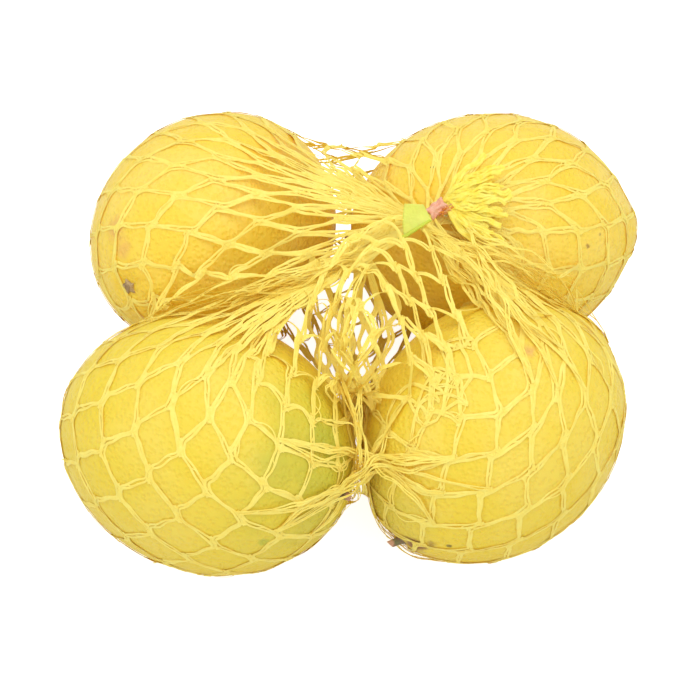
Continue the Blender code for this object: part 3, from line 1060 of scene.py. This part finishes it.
class LEMONNET_OT_lemons(bpy.types.Operator):
    """Makes the four lemons"""

    bl_idname = "lemon_net.lemons"
    bl_label = "Lemons"

    def execute(self, context):
        scene = context.scene
        for lemon in make_lemons(scene.lemon_sizes):
            bpy.ops.object.select_all(action="DESELECT")
            bpy.ops.mesh.primitive_uv_sphere_add(segments=128, ring_count=84, radius=1.0)
            piece = context.active_object
            piece.name = piece.data.name = "lemon_" + lemon.name
            ball = mesh_points(piece.data)
            ball /= lengths(ball)
            skin = lemon.world(ball * (1 + lemon.swell(ball))[:, None])
            skin[:, 2] = np.maximum(skin[:, 2], PEEL_OFF_FLOOR)
            move_points(piece.data, skin)
            bpy.ops.object.shade_smooth()
            give(piece, peel_finish(lemon.name, scene.peel_looks))
            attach(piece, BODY)
            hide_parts("filled_net")
        return {"FINISHED"}


class LEMONNET_OT_net(bpy.types.Operator):
    """Knits the net and draws it over the lemons"""

    bl_idname = "lemon_net.net"
    bl_label = "Net"

    def execute(self, context):
        settings = context.scene.net_make
        lemons = make_lemons(context.scene.lemon_sizes)
        web = Web(settings.around, settings.rows, (settings.pitch - settings.join) / MM, settings.join / MM)
        neck = np.array(settings.neck_at) / MM
        bottom = np.array(settings.bottom_at) / MM
        middle = np.array(BALL_MIDDLE)
        points, axis, east, north = web.round_ball(neck, bottom, middle, BALL_RADIUS, settings.twist)
        held, where = web.ends(neck, bottom, axis, east, north)
        points = settle(web, points, held, where, lemons)
        numbers, sides = follow_cords(web)
        path = points[numbers]
        up = off_skin(path, lemons)
        aside = np.cross(up, along(path))
        half = 0.5 * settings.cord_width / MM
        path = path + aside * sides[..., None] * half * pressed(path, neck)
        path = smooth_through(path, 3)
        up = off_skin(path, lemons)
        random = np.random.default_rng(5)
        width, film_width = settings.cord_width / MM, settings.film_width / MM
        strips = knit(path, up, random, width, film_width, pressed(path, neck))
        strips = [off_lemons(strip, lemons, FILM_OFF_PEEL) for strip in strips]
        red, green, blue = settings.yellow
        finish = net_finish("net_film", (red, green, blue), (red, green * 0.91, blue * 0.6))
        cords = len(path)
        for number in range(NET_PIECES):
            part = slice(number * cords // NET_PIECES, (number + 1) * cords // NET_PIECES)
            piece = strips_piece(f"net_{number + 1}", [strip[part] for strip in strips])
            give(piece, finish)
            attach(piece, BODY)
            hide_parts("filled_net")
        self.lace_joins(web, points, lemons, neck, settings, finish)
        joins = points[web.top].reshape(-1, 3)
        bunched = self.bunch(lemons, joins, random)
        double = self.lay_double(path, lemons, random)
        double += self.lay_under(lemons, joins, random)
        curls = self.curl_loose(path, up, random)
        for name, batches in (("net_fold", bunched), ("net_double", double), ("net_curls", curls)):
            piece = strips_piece(name, [off_lemons(strip, lemons, FILM_OFF_PEEL) for strip in batches])
            give(piece, finish)
            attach(piece, BODY)
        return {"FINISHED"}

    def bunch(self, lemons, joins, random):
        """Surplus net that lies in bunches and bands, and runs out into the nearest joins."""
        strips = []
        for cords, spread, *way_points in FOLDS:
            base = np.array(way_points, float)
            flare = 0.6 + 1.1 * np.linspace(-1.0, 1.0, len(base))[None, :, None] ** 4
            bends = base + random.normal(0, 0.9 * spread, (cords, 1, 3)) * flare
            bends = tied(bends + random.normal(0, 0.3 * spread, bends.shape), joins)
            path = smooth_through(bends, 6)
            gone = travelled(path)
            free = arch(path.shape[1])
            phase = random.uniform(0, 6.28, (3, cords, 1))
            paces = zip((0.50, 0.62, 0.81), phase)
            waves = [0.35 * free[..., 0] * np.sin(gone * pace + start) for pace, start in paces]
            path = off_lemons(path + np.stack(waves, axis=-1), lemons, 0.4)
            up = off_skin(path, lemons)
            path = path + up * random.uniform(0.0, 1.6, (cords, 1, 1)) * free
            strips += knit(path, up, random, 1.0, 0.40, np.ones((cords, 1, 1)))
        return strips

    def lay_double(self, path, lemons, random):
        """Parts of the cords again, a little aside, where the net lies double."""
        long, every = 36, 6
        where = path[:, long // 2 : -long // 2 : every]
        chance = 0.0
        for at, reach, share in DOUBLES:
            chance = chance + share * np.exp(-(lengths((where - at) / reach)[..., 0] ** 6))
        cord, start = np.nonzero(random.random(where.shape[:2]) < chance)
        base = path[cord[:, None], every * start[:, None] + np.arange(long + 1)]
        off = off_skin(base, lemons)
        count = (len(base), 1, 1)
        aside = np.cross(off, along(base)) * either_side(random, 1.4, 4.6, count)
        base = base + (aside - off * random.uniform(0.3, 2.5, count)) * arch(long + 1) ** 0.7
        base = off_lemons(base, lemons, 0.3)
        return knit(base, off_skin(base, lemons), random, 0.9, 0.42, np.ones(count))

    def lay_under(self, lemons, joins, random):
        """Slack net that hangs under the top layer in the hollow, its cells pulled long and narrow."""
        number = np.arange(UNDER_CORDS)[:, None]
        share = np.linspace(0.0, 1.0, UNDER_BENDS)
        step = UNDER_FROM_STEP + (UNDER_TO_STEP - UNDER_FROM_STEP) * share
        zigzag = np.where((number + np.arange(UNDER_BENDS)) % 2, 0.33, -0.33)
        bends = np.array(UNDER_FROM) + share[None, :, None] * (np.array(UNDER_TO) - np.array(UNDER_FROM))
        bends = np.repeat(bends, UNDER_CORDS, axis=0)
        bends[..., 0] += (number + zigzag) * step
        bends[..., 2] -= UNDER_SAG * np.sin(math.pi * share)
        bends += random.normal(0.0, 0.2, bends.shape)
        path = off_lemons(smooth_through(tied(bends, joins), 5), lemons, 0.3)
        up = np.broadcast_to(np.array([0.0, -0.4, 0.9]), path.shape)
        return knit(path, up, random, 1.5, 0.75, np.ones((UNDER_CORDS, 1, 1)))

    def curl_loose(self, path, up, random):
        """Short loose loops of film beside the cords, most of them where the net is bunched."""
        long, every = 8, 4
        where = path[:, :-long:every]
        near = np.exp(-((lengths(where - np.array(BUNCHED_AT))[..., 0] / BUNCHED_REACH) ** 2))
        cord, start = np.nonzero(random.random(where.shape[:2]) < 0.05 + 0.65 * near)
        index = every * start[:, None] + np.arange(long + 1)
        base, off = path[cord[:, None], index], up[cord[:, None], index]
        aside = np.cross(off, along(base))
        bow = arch(long + 1)
        count = (len(base), 1, 1)
        reach = either_side(random, 0.6, 1.7, count)
        base = base + aside * reach * bow + off * random.uniform(0.1, 0.9, count) * bow
        base = smooth_through(base, 2)
        return [ribbon(base, np.repeat(off[:, :1], base.shape[1], axis=1), 0.16, 0.05)]

    def lace_joins(self, web, points, lemons, neck, settings, finish):
        """Threads that cross from one cord to the other at each join."""
        random = np.random.default_rng(6)
        top, foot = points[web.top[1:-1]].reshape(-1, 3), points[web.foot[1:-1]].reshape(-1, 3)
        bends = 6
        share = np.linspace(-0.2, 1.2, bends)[None, :, None]
        path = top[:, None] * (1 - share) + foot[:, None] * share
        up = off_skin(path, lemons)
        aside = np.cross(up, along(path))
        zigzag = np.where(np.arange(bends) % 2, 1.0, -1.0)[None, :, None]
        width, film_width = settings.cord_width / MM, settings.film_width / MM
        count = (len(path), bends, 1)
        strips = []
        # A broad thread that runs nearly straight, and a thin one that swings from cord to cord.
        for swing, half, lift in ((0.08, 0.30 * width, 0.03), (0.55, 0.26 * film_width, 0.14)):
            reach = random.uniform(0.5, 1.0, count) * swing * width
            rise = up * lift * random.uniform(0.5, 1.5, count)
            bent = path + aside * zigzag * reach * pressed(path, neck) + rise
            bent = smooth_through(bent, 2)
            strips.append(ribbon(bent, off_skin(bent, lemons), half, 0.06))
        piece = strips_piece("net_lacing", [off_lemons(strip, lemons, FILM_OFF_PEEL) for strip in strips])
        give(piece, finish)
        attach(piece, BODY)


class LEMONNET_OT_stems(bpy.types.Operator):
    """Makes the dried star and the cut stem on each lemon"""

    bl_idname = "lemon_net.stems"
    bl_label = "Stems"

    def execute(self, context):
        for number, lemon in enumerate(make_lemons(context.scene.lemon_sizes)):
            wide, tall, shift, lean = STEM_SIZES[lemon.name]
            bpy.ops.object.select_all(action="DESELECT")
            bpy.ops.mesh.primitive_circle_add(vertices=40, radius=1.0, fill_type="NGON")
            piece = context.active_object
            piece.name = piece.data.name = "stem_" + lemon.name
            bpy.ops.object.mode_set(mode="EDIT")
            bpy.ops.mesh.select_all(action="SELECT")
            for inset, rise in (*STAR_STEPS, (0.04, tall), *CUT_STEPS):
                bpy.ops.mesh.extrude_region_move(TRANSFORM_OT_translate={"value": (0, 0, rise)})
                bpy.ops.mesh.inset(thickness=inset)
            bpy.ops.mesh.poke()
            bpy.ops.object.mode_set(mode="OBJECT")
            flat = mesh_points(piece.data)
            around = np.arctan2(flat[:, 1], flat[:, 0])
            rim = np.hypot(flat[:, 0], flat[:, 1])
            # Five uneven lobes round the rim, drooping outwards, and a stem that isn't quite round.
            outer = part_of(rim - 0.42, 0.58)
            lobes = 0.20 * np.cos(5 * around + number) + 0.07 * np.sin(11 * around + 2 * number)
            flat[:, :2] *= (1 + outer * lobes)[:, None]
            flat[:, 2] += 0.10 * outer * np.sin(5 * around + 1 + number) - 0.16 * outer**2
            flat[:, :2] *= (1 + 0.10 * np.sin(3 * around + number) * (1 - outer))[:, None]
            # The star sits in the dimple, bent to the lemon, with its foot sunk in the peel.
            foot = lemon.half[2] - 0.55 + 0.20 * wide
            slant = np.array(shift) + np.array(lean) * wide * np.clip(flat[:, 2:] - 0.2, 0.0, 2.0)
            own = np.concatenate([flat[:, :2] * wide + slant, foot + flat[:, 2:] * wide], axis=1)
            own[:, 2] -= (own[:, 0] ** 2 + own[:, 1] ** 2) / 60.0 * (flat[:, 2] < 0.3)
            own[:, 2] = np.where(flat[:, 2] < 0.01, foot - 0.9, own[:, 2])
            world = turned(own, lemon.axes) + lemon.middle
            move_points(piece.data, world)
            refine = piece.modifiers.new("round_off", "SUBSURF")
            refine.levels = refine.render_levels = 2
            bpy.ops.object.modifier_apply(modifier=refine.name)
            bpy.ops.object.shade_smooth()
            top = flat[:, 2] > flat[:, 2].max() - 0.12
            tip = (world[top] - 0.15 * lemon.axes[2]).mean(axis=0)
            give(piece, stem_finish(lemon.name, context.scene.closure, tip.tolist(), wide * 0.38))
            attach(piece, BODY)
        return {"FINISHED"}


class LEMONNET_OT_tail(bpy.types.Operator):
    """Makes the ruffled tail of net beyond the clip"""

    bl_idname = "lemon_net.tail"
    bl_label = "Tail"

    def execute(self, context):
        settings = context.scene.closure
        lemons = make_lemons(context.scene.lemon_sizes)
        random = np.random.default_rng(21)
        line = unit(settings.line)
        grow, out = unit(TAIL_GROWS), unit(TAIL_FACES)
        wide_way = unit(np.cross(grow, out))
        start = np.array(settings.clip_start) / MM
        mouth = start + line * settings.clip_length / MM
        count = (TAIL_CORDS, 1)
        spread = np.linspace(-1.0, 1.0, TAIL_CORDS)[:, None] + random.normal(0, 0.09, count)
        layer = random.uniform(-1.0, 1.0, count)
        ring = 0.8 * (spread * wide_way + layer * np.sqrt(np.maximum(0.0, 1 - spread**2)) * out)
        reach = settings.tail_length / MM * (0.65 + 0.75 * random.random(count) - 0.25 * spread**2)
        tip = mouth + grow * reach + wide_way * spread * settings.tail_width / MM * 0.95
        tip = tip + out * (0.6 + 0.9 * layer + 0.4 * np.sin(spread * 9.0))
        bends = [start + ring, mouth + ring]
        for share, lift in ((0.25, 0.9), (0.5, 0.9), (0.75, 0.5)):
            bow = math.sin(share * math.pi)
            way = mouth + (tip - mouth) * share + ring * (1 - share) * 0.6
            side = wide_way * (spread * bow * 1.2 + random.normal(0, 0.25, count))
            bends.append(way + out * (lift + 0.35 * random.normal(size=count)) + side)
        aside = wide_way * (random.normal(0, 0.5, count) + spread)
        bends += [tip, tip + grow * 1.4 + aside - out * 0.5]
        path = smooth_through(np.stack(bends, axis=1), 5)
        gone = travelled(path)
        phase = random.uniform(0, 6.28, (2, *count))
        free = part_of(gone - 6.0, 4.0)
        path = path + wide_way * (0.22 * free * np.sin(gone * 1.1 + phase[0]))[..., None]
        path = path + out * (0.22 * free * np.sin(gone * 0.9 + phase[1]))[..., None]
        up = np.broadcast_to(out, path.shape)
        crowd = np.clip(free, NECK_PRESS, 1.0)[..., None]
        strips = knit(path, up, random, 1.3, 0.62, crowd)
        piece = strips_piece("tail_ruffle", [off_lemons(strip, lemons, 0.05) for strip in strips])
        give(piece, net_finish("tail_film", settings.tail_yellow, settings.tail_deep))
        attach(piece, BODY)
        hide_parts("net_tail")
        return {"FINISHED"}


class LEMONNET_OT_clip(bpy.types.Operator):
    """Makes the crimped clip and the torn tape at its end"""

    bl_idname = "lemon_net.clip"
    bl_label = "Clip"

    def execute(self, context):
        settings = context.scene.closure
        line = unit(settings.line)
        side = unit(np.cross(line, [0.0, 0.0, 1.0]))
        over = np.cross(side, line)
        start = np.array(settings.clip_start) / MM
        radius, whole = settings.clip_radius / MM, settings.clip_length / MM
        bpy.ops.object.select_all(action="DESELECT")
        bpy.ops.mesh.primitive_cylinder_add(vertices=36, radius=1.0, depth=1.0, end_fill_type="NOTHING")
        piece = context.active_object
        piece.name = piece.data.name = "closing_clip"
        bpy.ops.object.mode_set(mode="EDIT")
        bpy.ops.mesh.select_all(action="SELECT")
        bpy.ops.mesh.subdivide(number_cuts=9)
        bpy.ops.object.mode_set(mode="OBJECT")
        points = mesh_points(piece.data)
        around, down = np.arctan2(points[:, 1], points[:, 0]), points[:, 2] + 0.5
        wall = np.full(len(points), radius)
        for crimp in CRIMPS:
            wall -= CRIMP_DEPTH * np.exp(-(((down - crimp) / 0.09) ** 2))
        dents = 0.16 * np.sin(5 * around + 3 * down) * np.sin(math.pi * down)
        wall += dents + 0.04 * np.sin(9 * around - 5 * down)
        # A ridge along the clip, where its ends are pressed together.
        wall += 0.30 * np.exp(-(((around - 1.9) / 0.16) ** 2))
        ends = whole * down + 0.25 * np.sin(3 * around + 1.0) * (2 * down - 1)
        shaped = (
            start
            + (np.cos(around) * wall)[:, None] * side
            + (np.sin(around) * wall * settings.clip_flat)[:, None] * over
            + ends[:, None] * line
        )
        move_points(piece.data, shaped)
        bpy.ops.object.mode_set(mode="EDIT")
        bpy.ops.mesh.select_all(action="SELECT")
        bpy.ops.mesh.remove_doubles(threshold=1e-6)
        bpy.ops.mesh.normals_make_consistent(inside=False)
        bpy.ops.object.mode_set(mode="OBJECT")
        thick = piece.modifiers.new("wall", "SOLIDIFY")
        thick.thickness = settings.clip_wall
        bpy.ops.object.modifier_apply(modifier=thick.name)
        bpy.ops.object.shade_smooth()
        give(piece, clip_finish(settings))
        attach(piece, BODY)
        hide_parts("clip")
        self.tear_tape(settings, start + line * whole, line, side, over)
        return {"FINISHED"}

    def tear_tape(self, settings, mouth, line, side, over):
        """Curls of tape that stick out at the outer end of the clip."""
        random = np.random.default_rng(4)
        count = (TAPE_CURLS, 1)
        angle = random.uniform(-0.6, 0.5, count)
        out = np.cos(angle) * side + np.sin(angle) * over
        low = mouth - line * random.uniform(0.6, 3.4, count)
        bends = [low + out * 1.2, low + out * 1.8 + line * 0.4]
        whole = random.uniform(0.7, 1.5, count)
        for reach in (0.9, 1.9, 2.9):
            wander = random.normal(0, 0.28, (TAPE_CURLS, 3))
            bends.append(low + (line * reach * 0.6 + out * reach * 0.6) * whole + out * 1.7 + wander)
        path = smooth_through(np.stack(bends, axis=1), 4)
        strip = ribbon(path, np.broadcast_to(out[:, None], path.shape), 0.2, 0.05)
        piece = strips_piece("torn_tape", [strip])
        give(piece, tape_finish(settings))
        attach(piece, BODY)


class LEMONNET_OT_tag(bpy.types.Operator):
    """Makes the folded film tag"""

    bl_idname = "lemon_net.tag"
    bl_label = "Tag"

    def execute(self, context):
        settings = context.scene.closure
        bpy.ops.object.select_all(action="DESELECT")
        bpy.ops.mesh.primitive_grid_add(x_subdivisions=14, y_subdivisions=18, size=1.0)
        piece = context.active_object
        piece.name = piece.data.name = "film_tag"
        mesh = piece.data
        grid = mesh_points(mesh)
        right, up = grid[:, :1] + 0.5, grid[:, 1:2] + 0.5
        low_left, low_right, high_left, high_right = (np.array(corner) for corner in TAG_CORNERS)

        def spot(up):
            """The place on the unfolded tag at this height."""
            flat = (low_left * (1 - right) + low_right * right) * (1 - up)
            flat = flat + (high_left * (1 - right) + high_right * right) * up
            return flat + np.array([-0.8, 0.2]) * np.sin(math.pi * up) * (1 - right)

        # The lowest part is folded back up over the front.
        edge = low_right - low_left
        inward = np.array([-edge[1], edge[0]]) / np.hypot(*edge)
        flat = spot(up)
        below = ((spot(TAG_FOLD) - flat) * inward).sum(axis=1, keepdims=True)
        fold = part_of(TAG_FOLD - up, TAG_FOLD)
        flat = flat + inward * np.where(fold > 0, 1.6 * below, 0.0)
        lift = 0.5 * np.sin(part_of(fold, 0.4) * math.pi / 2)
        lift = lift + 0.5 * np.sin(2.4 * right + 0.6) * up + 0.25 * np.sin(5.0 * up + 2.0 * right)
        face = unit(TAG_FACES)
        rightward = unit(np.cross(TAG_UPRIGHT, face))
        upward = np.cross(face, rightward)
        middle = np.array(settings.tag_at) / MM
        shaped = middle + flat[:, :1] * rightward + flat[:, 1:] * upward + lift * face
        move_points(mesh, shaped)
        doubled = mesh.attributes.new("doubled", "FLOAT", "POINT")
        doubled.data.foreach_set("value", part_of(fold[:, 0], 0.25))
        thick = piece.modifiers.new("film", "SOLIDIFY")
        thick.thickness = settings.tag_film
        bpy.ops.object.modifier_apply(modifier=thick.name)
        bpy.ops.object.shade_smooth()
        give(piece, tag_finish(settings))
        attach(piece, BODY)
        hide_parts("tag")
        return {"FINISHED"}


class LEMONNET_OT_stage(bpy.types.Operator):
    """Lays the floor, and sets the lights and the camera"""

    bl_idname = "lemon_net.stage"
    bl_label = "Stage"

    def execute(self, context):
        scene = context.scene
        settings = scene.stage_setup
        bpy.ops.object.select_all(action="DESELECT")
        bpy.ops.mesh.primitive_plane_add(size=6.0)
        floor = context.active_object
        floor.name = "floor"
        finish = Finish("floor_paper", Roughness=0.8)
        grain = finish.noise(40.0, 3.0)
        white = tuple(settings.floor)
        finish.join("Base Color", finish.mix(grain * 0.1, white, tuple(c * 0.97 for c in white)))
        seen = finish.node("ShaderNodeLightPath", output="Is Camera Ray")
        finish.join("Emission Color", finish.mix(seen, (0.0, 0.0, 0.0), (1.0, 1.0, 1.0)))
        finish.shader.inputs["Emission Strength"].default_value = settings.floor_glow
        give(floor, finish)
        world = bpy.data.worlds.new("studio")
        world.use_nodes = True
        sky = world.node_tree.nodes["Background"]
        sky.inputs["Color"].default_value = (1.0, 1.0, 1.0, 1.0)
        sky.inputs["Strength"].default_value = settings.sky
        scene.world = world
        aim = Vector(LIGHTS_FACE)
        for name, where, wide, power in LIGHTS:
            light = bpy.data.lights.new(name, "AREA")
            light.shape = "DISK"
            light.size = wide
            light.energy = power
            lamp = bpy.data.objects.new(name, light)
            lamp.location = where
            lamp.rotation_euler = (aim - Vector(where)).to_track_quat("-Z", "Y").to_euler()
            scene.collection.objects.link(lamp)
        camera = bpy.data.objects.new("camera", bpy.data.cameras.new("camera"))
        back = Vector((0.0, -math.cos(settings.elevation), math.sin(settings.elevation)))
        camera.location = Vector(settings.look_at) + back * settings.distance
        camera.rotation_euler = back.to_track_quat("Z", "Y").to_euler()
        camera.data.lens = settings.lens
        camera.data.sensor_width = 36.0
        camera.data.clip_start = 0.05
        scene.collection.objects.link(camera)
        scene.camera = camera
        scene.view_settings.view_transform = "Standard"
        scene.cycles.diffuse_bounces = 10
        return {"FINISHED"}


class LEMONNET_PT_panel(bpy.types.Panel):
    """Buttons for each part of the net of lemons"""

    bl_label = "Net of Lemons"
    bl_idname = "LEMONNET_PT_panel"
    bl_space_type = "VIEW_3D"
    bl_region_type = "UI"
    bl_category = "Lemon Net"

    def draw(self, context):
        for operator in OPERATORS:
            self.layout.operator(operator.bl_idname)
        for name, group in GROUPS.items():
            box = self.layout.box()
            box.label(text=group.__doc__)
            for key in group.__annotations__:
                box.prop(getattr(context.scene, name), key)


OPERATORS = (
    LEMONNET_OT_lemons,
    LEMONNET_OT_stems,
    LEMONNET_OT_net,
    LEMONNET_OT_tail,
    LEMONNET_OT_clip,
    LEMONNET_OT_tag,
    LEMONNET_OT_stage,
)
GROUPS = {
    "lemon_sizes": LemonSettings,
    "peel_looks": PeelSettings,
    "net_make": NetSettings,
    "closure": ClosureSettings,
    "stage_setup": StageSettings,
}


def register():
    """Makes the settings, the operators and the panel known."""
    for group in GROUPS.values():
        bpy.utils.register_class(group)
    for operator in OPERATORS:
        bpy.utils.register_class(operator)
    bpy.utils.register_class(LEMONNET_PT_panel)
    for name, group in GROUPS.items():
        setattr(bpy.types.Scene, name, bpy.props.PointerProperty(type=group))


def unregister():
    """Takes them away again."""
    for name in GROUPS:
        delattr(bpy.types.Scene, name)
    bpy.utils.unregister_class(LEMONNET_PT_panel)
    for operator in reversed(OPERATORS):
        bpy.utils.unregister_class(operator)
    for group in reversed(list(GROUPS.values())):
        bpy.utils.unregister_class(group)


def main():
    """Makes every piece, then the stage."""
    register()
    for operator in OPERATORS:
        family, word = operator.bl_idname.split(".")
        getattr(getattr(bpy.ops, family), word)()


if __name__ == "__main__":
    main()
